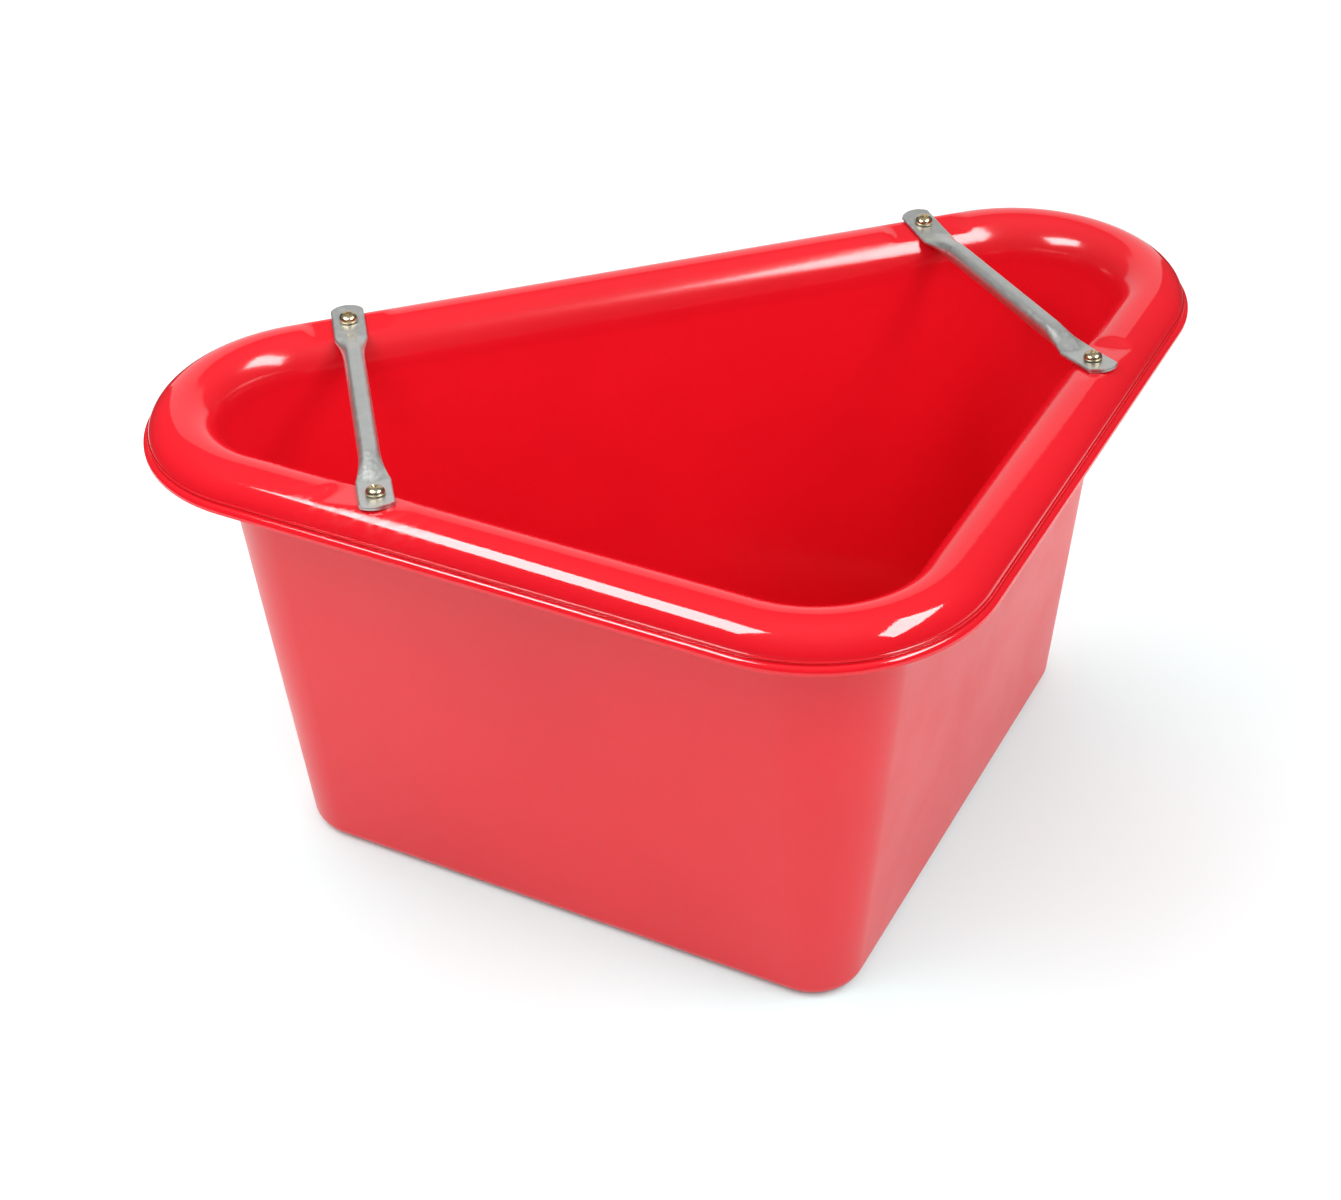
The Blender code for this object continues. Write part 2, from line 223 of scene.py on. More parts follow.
class Bolt:
    """A bolt's place, read from the frame: its washer and nylon ring are both turned about its axis."""

    def __init__(self, name):
        middle = {}
        for part in ("washer", "nut_insert"):
            low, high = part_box(f"{name}_{part}")
            middle[part] = (low + high) / 2
        axis = (middle["washer"] - middle["nut_insert"]).normalized()
        below = WASHER_TOP - WASHER_THICKNESS / 2
        self.seat = middle["washer"] - axis * below
        self.outward = Vector((-axis.x, -axis.y, 0)).normalized()  # in plan, along the bar
        side = Vector((-self.outward.y, self.outward.x, 0))
        turn = Matrix((side.cross(axis), side, axis)).transposed().to_4x4()
        self.matrix = Matrix.Translation(self.seat) @ turn


BOLTS = {f"{side}_{end}": Bolt(f"{side}_{end}") for side in ("left", "right") for end in ("back", "front")}


# Materials


class Graph:
    """A short way to write a node tree."""

    def __init__(self, owner):
        owner.use_nodes = True
        self.owner = owner
        self.tree = owner.node_tree
        self.shader = self.tree.nodes.get("Principled BSDF")
        self.places = self.tree.nodes.new("ShaderNodeTexCoord").outputs
        self.coordinates = self.places["Object"]

    def put(self, socket, value):
        if isinstance(value, bpy.types.NodeSocket):
            self.tree.links.new(value, socket)
        else:
            socket.default_value = value

    def node(self, kind, inputs=(), **settings):
        made = self.tree.nodes.new(kind)
        for key, value in settings.items():
            setattr(made, key, value)
        for key, value in dict(inputs).items():
            self.put(made.inputs[key], value)
        return made

    def stretched(self, scale):
        inputs = {"Vector": self.coordinates, "Scale": scale}
        return self.node("ShaderNodeMapping", inputs).outputs["Vector"]

    def noise(self, scale, detail=2.0, roughness=0.5, vector=None):
        inputs = {"Scale": scale, "Detail": detail, "Roughness": roughness}
        inputs["Vector"] = vector or self.coordinates
        return self.node("ShaderNodeTexNoise", inputs).outputs["Fac"]

    def ramp(self, value, low, high, to_low, to_high):
        """A smooth step from one value to the other."""
        inputs = {"Value": value, "From Min": low, "From Max": high, "To Min": to_low, "To Max": to_high}
        return self.node("ShaderNodeMapRange", inputs, interpolation_type="SMOOTHSTEP").outputs["Result"]

    def math(self, operation, a, b=0.0):
        made = self.node("ShaderNodeMath", operation=operation)
        self.put(made.inputs[0], a)
        self.put(made.inputs[1], b)
        return made.outputs[0]

    def mix(self, share, a, b):
        made = self.node("ShaderNodeMix", data_type="RGBA")
        self.put(made.inputs["Factor"], share)
        self.put(made.inputs["A"], a)
        self.put(made.inputs["B"], b)
        return made.outputs["Result"]

    def bump(self, height, strength, distance, normal=None):
        inputs = {"Height": height, "Strength": strength, "Distance": distance}
        if normal:
            inputs["Normal"] = normal
        return self.node("ShaderNodeBump", inputs).outputs["Normal"]

    def set(self, **values):
        names = {
            "color": "Base Color",
            "roughness": "Roughness",
            "metallic": "Metallic",
            "normal": "Normal",
            "ior": "IOR",
            "specular": "Specular IOR Level",
            "glow": "Emission Color",
            "glow_strength": "Emission Strength",
        }
        for key, value in values.items():
            self.put(self.shader.inputs[names[key]], value)
        return self.owner

    def dot(self, vector, axis):
        made = self.node("ShaderNodeVectorMath", {0: vector, 1: axis}, operation="DOT_PRODUCT")
        return made.outputs["Value"]

    def length(self, vector):
        return self.node("ShaderNodeVectorMath", {0: vector}, operation="LENGTH").outputs["Value"]

    def away_from(self, spot):
        """Distance from a point of the object."""
        step = self.node("ShaderNodeVectorMath", {0: self.coordinates, 1: spot}, operation="SUBTRACT")
        return self.length(step.outputs["Vector"])


def material(name):
    return Graph(bpy.data.materials.new(name))


INSIDE = (HEIGHT - 0.030, HEIGHT - 0.012)  # between these the inner wall's finish and lighter red give way to the rim's finish and its darker red, a painted shade
SCUFF_REACH = (0.02, 0.075)  # handling has dulled the roll this near one bar's end


def red_gloss():
    """Rim and inside: glossy on the rim and duller down the inner wall, with orange peel and scratches; the
    rim's red is painted darker as shade against the overhead light.
    """
    g = material("red_polyethylene_gloss")
    height = g.node("ShaderNodeSeparateXYZ", {"Vector": g.coordinates}).outputs["Z"]
    inside = g.ramp(height, *INSIDE, 1, 0)
    cloudy = g.ramp(g.noise(9.0, 3.0), 0.3, 0.7, 0, 1)
    # The rim's red is painted darker than the inner wall's: a painted shade that tones down the overhead
    # light on the rim.
    rim_color_painted_shade = g.mix(cloudy, (0.63, 0.0060, 0.0140, 1), (0.59, 0.0053, 0.0130, 1))
    wall_color = g.mix(cloudy, (0.78, 0.0076, 0.0180, 1), (0.74, 0.0068, 0.0168, 1))
    scratches = g.noise(900.0, 2.0, 0.6, g.stretched((1.0, 0.03, 0.2)))
    worn = g.ramp(scratches, 0.66, 0.72, 0, 1)
    smudges = g.noise(22.0, 4.0, 0.6)
    rough = g.math("ADD", g.ramp(smudges, 0.35, 0.75, 0.055, 0.085), g.math("MULTIPLY", worn, 0.05))
    # The mould's inner side is less polished: there the surface faces the middle of the tub.
    level = g.node("ShaderNodeVectorMath", {0: g.coordinates, 1: (1, 1, 0)}, operation="MULTIPLY")
    outward = g.node("ShaderNodeVectorMath", {0: level.outputs["Vector"]}, operation="NORMALIZE")
    facing = g.dot(g.node("ShaderNodeNewGeometry").outputs["Normal"], outward.outputs["Vector"])
    inner = g.ramp(facing, -0.45, -0.10, 1, 0)
    rough = g.math("ADD", rough, g.math("MULTIPLY", inner, 0.085))
    rough = g.math("ADD", rough, g.math("MULTIPLY", inside, 0.05))
    near = g.ramp(g.away_from(BOLTS["left_front"].seat), *SCUFF_REACH, 1, 0)
    streaks = g.ramp(g.noise(260.0, 3.0, 0.6, g.stretched((0.25, 1.0, 1.0))), 0.42, 0.62, 0, 1)
    rough = g.math("ADD", rough, g.math("MULTIPLY", g.math("MULTIPLY", near, streaks), 0.14))
    peel = g.bump(g.noise(230.0, 2.0), 0.04, 0.0008)
    return g.set(color=g.mix(inside, rim_color_painted_shade, wall_color), roughness=rough, normal=peel, ior=1.5)


def red_satin():
    """Outside of the body: the satin side of the moulding."""
    g = material("red_polyethylene_satin")
    cloudy = g.noise(6.0, 3.0)
    color = g.mix(g.ramp(cloudy, 0.3, 0.7, 0, 1), (0.67, 0.0064, 0.0150, 1), (0.63, 0.0056, 0.0138, 1))
    smudges = g.noise(15.0, 4.0, 0.6)
    rough = g.ramp(smudges, 0.3, 0.75, 0.29, 0.36)
    grain = g.bump(g.noise(1500.0, 2.0), 0.10, 0.0004)
    flow = g.bump(g.noise(7.0, 1.0), 0.06, 0.004, grain)
    return g.set(color=color, roughness=rough, normal=flow, ior=1.5)


def zinc_tube():
    g = material("zinc_plated_tube")
    mottle = g.noise(160.0, 4.0, 0.6)
    color = g.mix(g.ramp(mottle, 0.3, 0.75, 0, 1), (0.59, 0.60, 0.58, 1), (0.53, 0.55, 0.53, 1))
    rough = g.ramp(g.noise(420.0, 3.0), 0.3, 0.7, 0.37, 0.45)
    grain = g.bump(g.noise(2200.0, 3.0), 0.12, 0.0003)
    return g.set(color=color, roughness=rough, metallic=1.0, normal=grain)


def yellow_zinc():
    g = material("yellow_zinc_screw")
    tint = g.noise(260.0, 2.0)
    color = g.mix(g.ramp(tint, 0.35, 0.65, 0, 1), (0.60, 0.49, 0.28, 1), (0.50, 0.43, 0.31, 1))
    rough = g.ramp(g.noise(700.0, 3.0), 0.3, 0.7, 0.16, 0.26)
    grain = g.bump(g.noise(3000.0, 2.0), 0.08, 0.0002)
    return g.set(color=color, roughness=rough, metallic=1.0, normal=grain)


def zinc_hardware():
    g = material("zinc_plated_hardware")
    tint = g.noise(300.0, 3.0)
    color = g.mix(g.ramp(tint, 0.35, 0.65, 0, 1), (0.60, 0.61, 0.61, 1), (0.50, 0.51, 0.52, 1))
    rough = g.ramp(g.noise(800.0, 3.0), 0.3, 0.7, 0.26, 0.38)
    grain = g.bump(g.noise(2600.0, 2.0), 0.10, 0.0002)
    return g.set(color=color, roughness=rough, metallic=1.0, normal=grain)


def nylon():
    g = material("nylon_ring")
    color = g.mix(g.ramp(g.noise(400.0), 0.3, 0.7, 0, 1), (0.05, 0.12, 0.36, 1), (0.04, 0.10, 0.30, 1))
    rough = g.ramp(g.noise(900.0), 0.3, 0.7, 0.38, 0.5)
    grain = g.bump(g.noise(2400.0), 0.1, 0.0002)
    return g.set(color=color, roughness=rough, normal=grain)


# Tub


def corner(side, offset, radius):
    """Centre of the arc after a side of the triangle."""
    a, b = NORMALS[side], NORMALS[(side + 1) % 3]
    p, q = REACH[side] + offset - radius, REACH[(side + 1) % 3] + offset - radius
    cross = a[0] * b[1] - a[1] * b[0]
    return np.array([(p * b[1] - q * a[1]) / cross, (q * a[0] - p * b[0]) / cross])


SEAT_MARGIN = 0.002
SEAT_STEPS = 48
LONG_STEPS = 25  # between the two seats of the long side
LEG_STEPS = (5, 19)  # before and after the seat of a short side


def side_stations():
    """For each side, the fractions of its straight stretch where its points stand, closer at the seats."""
    reach = SEAT_FLAT + SEAT_RAMP + SEAT_MARGIN
    near = np.linspace(-reach, reach, SEAT_STEPS + 1)
    start = END_RADIUS / tan(pi / 8)
    half = HALF_LONG - start
    bolt = BOLTS["right_back"].seat.x
    middle = np.linspace(bolt - reach, reach - bolt, LONG_STEPS + 1)[1:-1]
    long_side = (half - np.concatenate([bolt - near, middle, -bolt - near])) / (2 * half)
    straight = HALF_LONG * sqrt(2) - APEX_RADIUS - start
    seat = BOLTS["left_front"].seat
    along = (Vector((seat.x + HALF_LONG, seat.y + CENTRE_Y)).dot(Vector((1, -1)))) / sqrt(2)
    seat_at = along + LEG_SEAT_SHIFT - start
    before = np.linspace(0, seat_at - reach, LEG_STEPS[0] + 1)[1:-1]
    after = np.linspace(seat_at + reach, straight, LEG_STEPS[1] + 1)[1:-1]
    leg = np.concatenate([before, seat_at + near, after]) / straight
    return long_side, leg, 1 - leg[::-1]


STATIONS = side_stations()
END_STEPS = 64
APEX_STEPS = 44


def outline(offset, apex_radius, end_radius):
    """Counter-clockwise plan points of the triangle, grown outward by the offset."""
    radii = (end_radius, apex_radius, end_radius)
    steps = (END_STEPS, APEX_STEPS, END_STEPS)
    centres = [corner(side, offset, radii[side]) for side in range(3)]
    points = []
    for side in range(3):
        normal, turn = NORMALS[side], NORMALS[(side + 1) % 3]
        start = centres[side - 1] + normal * radii[side - 1]
        end = centres[side] + normal * radii[side]
        points.append(start + np.outer(STATIONS[side], end - start))
        first = atan2(normal[1], normal[0])
        sweep = (atan2(turn[1], turn[0]) - first) % (2 * pi)
        angles = first + sweep * np.arange(steps[side] + 1) / steps[side]
        points.append(centres[side] + radii[side] * np.stack([np.cos(angles), np.sin(angles)], axis=1))
    return np.concatenate(points)


def pressed(points, heights, drop):
    """Heights of points of the roll, or of its underside at this drop, with the seats pressed in."""
    for name, bolt in BOLTS.items():
        seat = np.array([bolt.seat.x, bolt.seat.y + CENTRE_Y])
        outward = np.array([bolt.outward.x, bolt.outward.y])
        if name.endswith("back"):
            along, middle = np.array([1.0, 0.0]), seat
        else:
            hand = np.sign(bolt.seat.x)
            along = np.array([-hand, -1.0]) / sqrt(2)
            middle = seat + along * LEG_SEAT_SHIFT
        away = np.abs((points - middle) @ along)
        near = np.linalg.norm(points - seat, axis=1) < SEAT_REACH
        share = 1 - np.clip((away - SEAT_FLAT) / SEAT_RAMP, 0, 1)
        share = share * share * (3 - 2 * share) * near
        plane = bolt.seat.z + tan(SEAT_TILT) * ((points - seat) @ outward) - drop
        over = heights - plane
        # A soft maximum of zero and the excess rounds the crease.
        blend = np.clip(0.5 + over / (2 * SEAT_SOFT), 0, 1)
        heights = heights - share * (over * blend + SEAT_SOFT * blend * (1 - blend))
    return heights


def quarter(width, drop, thickness, angles):
    """Points of an ellipse's quarter about the crest, at a depth into the wall."""
    wide, tall = width - thickness, drop - thickness
    return [(ROLL_INNER + wide * cos(a), HEIGHT - drop + tall * sin(a)) for a in angles]


def arc(centre_o, centre_z, radius, first, last, steps):
    """Points (offset, height) of an arc."""
    spans = [first + (last - first) * k / steps for k in range(steps + 1)]
    return [(centre_o + radius * cos(a), centre_z + radius * sin(a)) for a in spans]


ROLL_STEPS = 30
LIP_STEPS = 10  # along the bead, and round the lip's shoulder
EDGE_STEPS = 4  # round the lip's small corners


def rim_profile():
    """(offset, height, drop) from the mouth's edge over the roll, round the lip and back beneath.

    The drop is how far the surface lies below the seats' plane, or None where no seat presses it."""
    up = [pi - pi / 2 * k / ROLL_STEPS for k in range(ROLL_STEPS + 1)]
    down = [pi / 2 - pi / 2 * k / ROLL_STEPS for k in range(1, ROLL_STEPS)]
    top = quarter(ROLL_INNER, ROLL_INNER_DROP, 0, up) + quarter(ROLL_OUTER, ROLL_OUTER_DROP, 0, down)
    edge = ROLL_INNER + ROLL_OUTER
    step_z = HEIGHT - LIP_TOP
    lip = arc(edge - BEAD_INSET, HEIGHT - ROLL_OUTER_DROP + BEAD_LIFT, BEAD, pi / 3, -pi / 3, LIP_STEPS)
    lip += arc(edge + NOOK, step_z + NOOK, NOOK, pi, 3 * pi / 2, EDGE_STEPS)
    lip += arc(RIM_REACH - LIP_ROUND, step_z - LIP_ROUND, LIP_ROUND, pi / 2, 0, LIP_STEPS)
    foot = HEIGHT - LIP_BOTTOM
    lip += arc(RIM_REACH - LIP_EDGE, foot + LIP_EDGE, LIP_EDGE, 0, -pi / 2, EDGE_STEPS)
    inner = RIM_REACH - LIP_WALL
    lip += arc(inner + LIP_EDGE, foot + LIP_EDGE, LIP_EDGE, -pi / 2, -pi, EDGE_STEPS)
    lip.append((inner, step_z - LIP_WALL))
    below = quarter(ROLL_OUTER, ROLL_OUTER_DROP, WALL, reversed([pi / 2, *down, 0.0]))
    below += quarter(ROLL_INNER, ROLL_INNER_DROP, WALL, list(reversed(up))[1:])
    drop = WALL / cos(SEAT_TILT)
    return [(*spot, 0) for spot in top] + [(*spot, None) for spot in lip] + [(*spot, drop) for spot in below]


WALL_STEPS = 14
FOOT_STEPS = 12


def body_ring(depth, height, inset):
    """(offset, height, apex radius, end radius) of the tapered body, at a share of its depth."""
    offset = WALL - DRAFT * depth
    apex = APEX_RADIUS + WALL + (FOOT_APEX_RADIUS - APEX_RADIUS - WALL) * depth
    end = END_RADIUS + WALL + (FOOT_END_RADIUS - END_RADIUS - WALL) * depth
    return offset - inset, height, apex - inset, end - inset


def wall_rings(floor, inset, radius):
    """Rings down the tapered wall and round its foot."""
    top = HEIGHT - ROLL_INNER_DROP
    foot = floor + radius
    rings = []
    for k in range(1, WALL_STEPS):
        height = top + (foot - top) * k / WALL_STEPS
        rings.append(body_ring(1 - height / top, height, inset))
    depth = 1 - foot / top
    for k in range(FOOT_STEPS + 1):
        angle = pi / 2 * k / FOOT_STEPS
        rings.append(body_ring(depth, floor + radius * (1 - sin(angle)), inset + radius * (1 - cos(angle))))
    return rings


def tub(gloss, satin):
    """The whole moulding as one closed skin: up the inside, over the rim and down the outside."""
    inner = [(*ring, None, 0) for ring in reversed(wall_rings(WALL, WALL, FOOT_FILLET - WALL / 2))]
    rim = []
    for offset, height, drop in rim_profile():
        rim.append((offset, height, APEX_RADIUS + offset, END_RADIUS + offset, drop, 0))
    outer = [(*ring, None, 1) for ring in wall_rings(0, 0, FOOT_FILLET)]
    bm = bmesh.new()
    loops, finishes = [], []
    for offset, height, apex, end, drop, finish in inner + rim + outer:
        points = outline(offset, apex, end)
        heights = np.full(len(points), height)
        if drop is not None:
            heights = pressed(points, heights, drop)
        shifted = zip(points[:, 0], points[:, 1] - CENTRE_Y, heights)
        loops.append([bm.verts.new(tuple(float(x) for x in spot)) for spot in shifted])
        finishes.append(finish)
    for k in range(len(loops) - 1):
        skin(bm, loops[k : k + 2], finish=finishes[k + 1])
    bm.faces.new(loops[0]).material_index = 0
    bm.faces.new(loops[-1]).material_index = 1
    bmesh.ops.recalc_face_normals(bm, faces=bm.faces)
    made = new_object("moulded_tub", bm, [gloss, satin], TUB_SHARP)
    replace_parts(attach(made, BODY), "tub")


# Bars


def racetrack(half_width, half_height, part):
    """Point this part of the way round a flattened tube's outline, from the middle of its top."""
    flat = half_width - half_height
    lap = 4 * flat + 2 * pi * half_height
    run = part * lap
    if run <= flat:
        return run, half_height
    run -= flat
    if run <= pi * half_height:
        angle = pi / 2 - run / half_height
        return flat + half_height * cos(angle), half_height * sin(angle)
    run -= pi * half_height
    if run <= 2 * flat:
        return flat - run, -half_height
    run -= 2 * flat
    if run <= pi * half_height:
        angle = -pi / 2 - run / half_height
        return -flat + half_height * cos(angle), half_height * sin(angle)
    return run - pi * half_height - flat, half_height


AROUND = 72
BAR_STEPS = (4, 27, 6, 15)  # along half the tube, its neck, its nose and its tab
DRILL_STEPS = 40
DRILL = (-0.004, 0.008)  # the drill's reach along the bolt, past both faces of the tab


def bar_section(along, crease, inset, part):
    """(across, up) at a distance from the bar's middle: round tube, rounded nose, then flat tab."""
    half_height = TAB_THICKNESS / 2 if inset == 0 else TAB_SLIT / 2
    flat_y, flat_z = racetrack(TAB_HALF_WIDTH - inset, half_height, part)
    angle = pi / 2 - 2 * pi * part
    nose = NOSE * sin(angle) ** 2
    flatness = min(1, max(0, (along - crease + NECK_LENGTH) / NECK_LENGTH))
    bulge = min(1, max(0, (along - crease - nose + NECK_LENGTH) / NECK_LENGTH))
    narrow = 1 - flatness**2
    raised = 1 - bulge**NECK_DROP_POWER
    round_y = (BAR_RADIUS - inset) * cos(angle)
    # A power mean with the pressed height rounds the shoulders of the flats.
    limit = BAR_HALF_HEIGHT - inset
    swell = max(abs((BAR_RADIUS - inset) * sin(angle)), 1e-9)
    round_z = (swell**-PRESS_POWER + limit**-PRESS_POWER) ** (-1 / PRESS_POWER)
    round_z = BAR_LIFT + (round_z if sin(angle) > 0 else -round_z)
    return flat_y + (round_y - flat_y) * narrow, flat_z + (round_z - flat_z) * raised


def bar(side, finish):
    """A tube with both ends pressed flat, bent to the seats and drilled for its bolts."""
    back, front = BOLTS[side + "_back"], BOLTS[side + "_front"]
    span = back.seat - front.seat
    half = Vector((span.x, span.y)).length / 2
    rise = tan(SEAT_TILT)
    tab_middle = back.seat.z + (GAP + TAB_THICKNESS / 2) / cos(SEAT_TILT)
    tube_height = tab_middle - TAB_INNER * rise
    crease = half - TAB_INNER
    tube, neck, nose, tab = [steps + 1 for steps in BAR_STEPS]
    places = list(np.linspace(0, crease - NECK_LENGTH, tube))
    places += list(crease - NECK_LENGTH * (1 - np.linspace(0, 1, neck)[1:]))
    places += list(crease + np.linspace(0, NOSE, nose)[1:])
    places += list(np.linspace(crease + NOSE, half + TAB_OVERHANG, tab)[1:])
    bm = bmesh.new()
    walls = []
    for inset in (0, BAR_WALL):
        rings = []
        for along in [-p for p in reversed(places[1:])] + places:
            ring = []
            for k in range(AROUND):
                reach = abs(along)
                across, up = bar_section(reach, crease, inset, k / AROUND)
                if reach > half:
                    share = (reach - half) / TAB_OVERHANG
                    reach -= share * (TAB_END_ARC - sqrt(TAB_END_ARC**2 - across**2))
                bent = max(0, reach - crease)
                lift = rise * (sqrt(bent**2 + BEND_SOFT**2) - BEND_SOFT)
                ring.append(bm.verts.new((reach if along > 0 else -reach, across, up + lift)))
            rings.append(ring)
        skin(bm, rings)
        walls.append(rings)
    for end in (0, -1):
        skin(bm, [walls[0][end], walls[1][end]])
    bmesh.ops.recalc_face_normals(bm, faces=bm.faces)
    made = new_object(side + "_crossbar", bm, [finish])
    middle = (back.seat + front.seat) / 2
    turn = Matrix.Rotation(atan2(span.y, span.x), 4, "Z")
    made.data.transform(Matrix.Translation((middle.x, middle.y, tube_height)) @ turn)
    for bolt in (back, front):
        tool = new_object("drill", turned([(HOLE_RADIUS, z) for z in DRILL], DRILL_STEPS), [finish])
        tool.data.transform(bolt.matrix)
        boolean(made, tool)
    made.data.set_sharp_from_angle(angle=SHARP)
    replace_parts(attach(made, BODY), side + "_bar")


# Fasteners


def soften(piece, width):
    """Rounds the sharp edges a little."""
    step = piece.modifiers.new("soften", "BEVEL")
    step.width = width
    step.segments = 2
    step.limit_method = "ANGLE"
    step.angle_limit = SHARP
    apply_modifiers(piece)
    piece.data.shade_smooth()
    piece.data.set_sharp_from_angle(angle=SHARP)


def screw(name, finish):
    """A domed head with a cross recess, on a threaded shank."""
    crown = UNDER_HEAD + HEAD_HEIGHT
    dome = []
    steps = 14
    for k in range(steps):
        angle = pi / 2 * k / steps
        height = UNDER_HEAD + HEAD_BAND + (HEAD_HEIGHT - HEAD_BAND) * sin(angle)
        dome.append((HEAD_RADIUS * cos(angle) ** DOME_POWER, height))
    bottom = NUT_TOP - NUT_HEIGHT - SHANK_TAIL
    start = bottom + SHANK_TAIL / 2
    profile = [(SHANK_RADIUS * TIP_SHARE, bottom), (SHANK_RADIUS, start)]
    # Rolled thread below the plain neck
    turns = int((WASHER_TOP - bottom - SHANK_TAIL) / THREAD_PITCH)
    for k in range(turns):
        height = start + (k + 0.5) * THREAD_PITCH
        profile += [(SHANK_RADIUS - THREAD_DEPTH, height), (SHANK_RADIUS, height + THREAD_PITCH / 2)]
    profile += [(SHANK_RADIUS, UNDER_HEAD), (HEAD_RADIUS - HEAD_EDGE, UNDER_HEAD)]
    profile += [(HEAD_RADIUS, UNDER_HEAD + HEAD_EDGE), *dome, (HEAD_RADIUS * CROWN_SHARE, crown)]
    made = new_object(name + "_pan_head_screw", turned(profile, ROUND_STEPS), [finish])
    for turn in (0, 1):
        bm = bmesh.new()
        bmesh.ops.create_cube(bm, size=1)
        bmesh.ops.scale(bm, vec=(RECESS_SPAN, RECESS_WIDTH, 2 * RECESS_DEPTH), verts=bm.verts)
        for vert in bm.verts:
            if vert.co.z < 0:
                vert.co.x *= RECESS_TAPER[0]
                vert.co.y *= RECESS_TAPER[1]
        tool = new_object("cross", bm, [finish])
        spin = Matrix.Rotation(CROSS_TURN + turn * pi / 2, 4, "Z")
        tool.data.transform(Matrix.Translation((0, 0, crown)) @ spin)
        boolean(made, tool)
    soften(made, SCREW_SOFT)
    made.data.transform(BOLTS[name].matrix)
    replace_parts(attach(made, BODY), name + "_screw")


def washer(name, finish):
    low, high = WASHER_TOP - WASHER_THICKNESS, WASHER_TOP
    loop = [(HOLE_RADIUS, low), (WASHER_RADIUS, low), (WASHER_RADIUS, high), (HOLE_RADIUS, high)]
    made = new_object(name + "_plain_washer", turned(loop, ROUND_STEPS, ring=True), [finish])
    soften(made, STEEL_SOFT)
    made.data.transform(BOLTS[name].matrix)
    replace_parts(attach(made, BODY), name + "_washer")


def nut(name, finish):
    """A lock nut: a chamfered hexagon with a collar that holds the nylon ring."""
    corner_radius = NUT_FLATS / sqrt(3)
    bottom = NUT_TOP - NUT_HEIGHT
    hex_bottom = NUT_TOP - NUT_HEX_HEIGHT
    hexagon = turned([(corner_radius, hex_bottom), (corner_radius, NUT_TOP)], 6)
    made = new_object(name + "_lock_nut", hexagon, [finish])
    # A turned blank with chamfered ends trims the hexagon's corners.
    blank = [
        (NUT_FLATS / 2, hex_bottom - BLANK_OVER),
        (corner_radius, hex_bottom + NUT_CHAMFER),
        (corner_radius, NUT_TOP - NUT_CHAMFER),
        (NUT_FLATS / 2, NUT_TOP + BLANK_OVER),
    ]
    boolean(made, new_object("blank", turned(blank, ROUND_STEPS), [finish]), "INTERSECT")
    collar = [(NUT_COLLAR_RADIUS - COLLAR_EDGE[0], bottom), (NUT_COLLAR_RADIUS, bottom + COLLAR_EDGE[1])]
    collar.append((NUT_COLLAR_RADIUS, NUT_TOP - NUT_HEX_HEIGHT / 2))
    boolean(made, new_object("collar", turned(collar, ROUND_STEPS), [finish]), "UNION")
    pocket = bottom + INSERT_THICKNESS + 2 * GAP
    bore = [(INSERT_RADIUS + GAP, bottom - BORE_OVER), (INSERT_RADIUS + GAP, pocket)]
    bore += [(HOLE_RADIUS, pocket), (HOLE_RADIUS, NUT_TOP + BORE_OVER)]
    boolean(made, new_object("bore", turned(bore, ROUND_STEPS), [finish]))
    soften(made, STEEL_SOFT)
    made.data.transform(BOLTS[name].matrix)
    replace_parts(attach(made, BODY), name + "_nut")


def insert(name, finish):
    """The nylon ring in a lock nut."""
    low = NUT_TOP - NUT_HEIGHT + GAP
    high = low + INSERT_THICKNESS
    loop = [(HOLE_RADIUS, low), (INSERT_RADIUS, low), (INSERT_RADIUS, high), (HOLE_RADIUS, high)]
    made = new_object(name + "_nylon_ring", turned(loop, ROUND_STEPS, ring=True), [finish])
    soften(made, NYLON_SOFT)
    made.data.transform(BOLTS[name].matrix)
    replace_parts(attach(made, BODY), name + "_nut_insert")


# Stage

CAMERA_AZIMUTH = radians(-16.88)
CAMERA_ELEVATION = radians(36.01)
CAMERA_DISTANCE = 1.3949
CAMERA_ROLL = radians(-1.494)
CAMERA_LENS = 62.04
CAMERA_TARGET = Vector((-0.0322, 0.04485, 0.1597))


def camera():
    data = bpy.data.cameras.new("camera")
    data.sensor_fit = "HORIZONTAL"
    data.sensor_width = 36
    data.lens = CAMERA_LENS
    data.clip_start = 0.01
    data.clip_end = 100
    made = bpy.data.objects.new("camera", data)
    bpy.context.scene.collection.objects.link(made)
    level = cos(CAMERA_ELEVATION)
    back = Vector((sin(CAMERA_AZIMUTH) * level, -cos(CAMERA_AZIMUTH) * level, sin(CAMERA_ELEVATION)))
    right = Vector((cos(CAMERA_AZIMUTH), sin(CAMERA_AZIMUTH), 0))
    up = back.cross(right)
    tilted_right = right * cos(CAMERA_ROLL) + up * sin(CAMERA_ROLL)
    tilted_up = up * cos(CAMERA_ROLL) - right * sin(CAMERA_ROLL)
    turn = Matrix((tilted_right, tilted_up, back)).transposed().to_4x4()
    made.matrix_world = Matrix.Translation(CAMERA_TARGET + back * CAMERA_DISTANCE) @ turn
    bpy.context.scene.camera = made


def heading(azimuth, elevation=0.0):
    """Unit direction: azimuth 0 looks toward -Y and grows toward +X."""
    azimuth, elevation = radians(azimuth), radians(elevation)
    level = cos(elevation)
    return Vector((sin(azimuth) * level, -cos(azimuth) * level, sin(elevation)))


LIGHT_GAP = 0.003  # one of each pair stands this far in front of the other


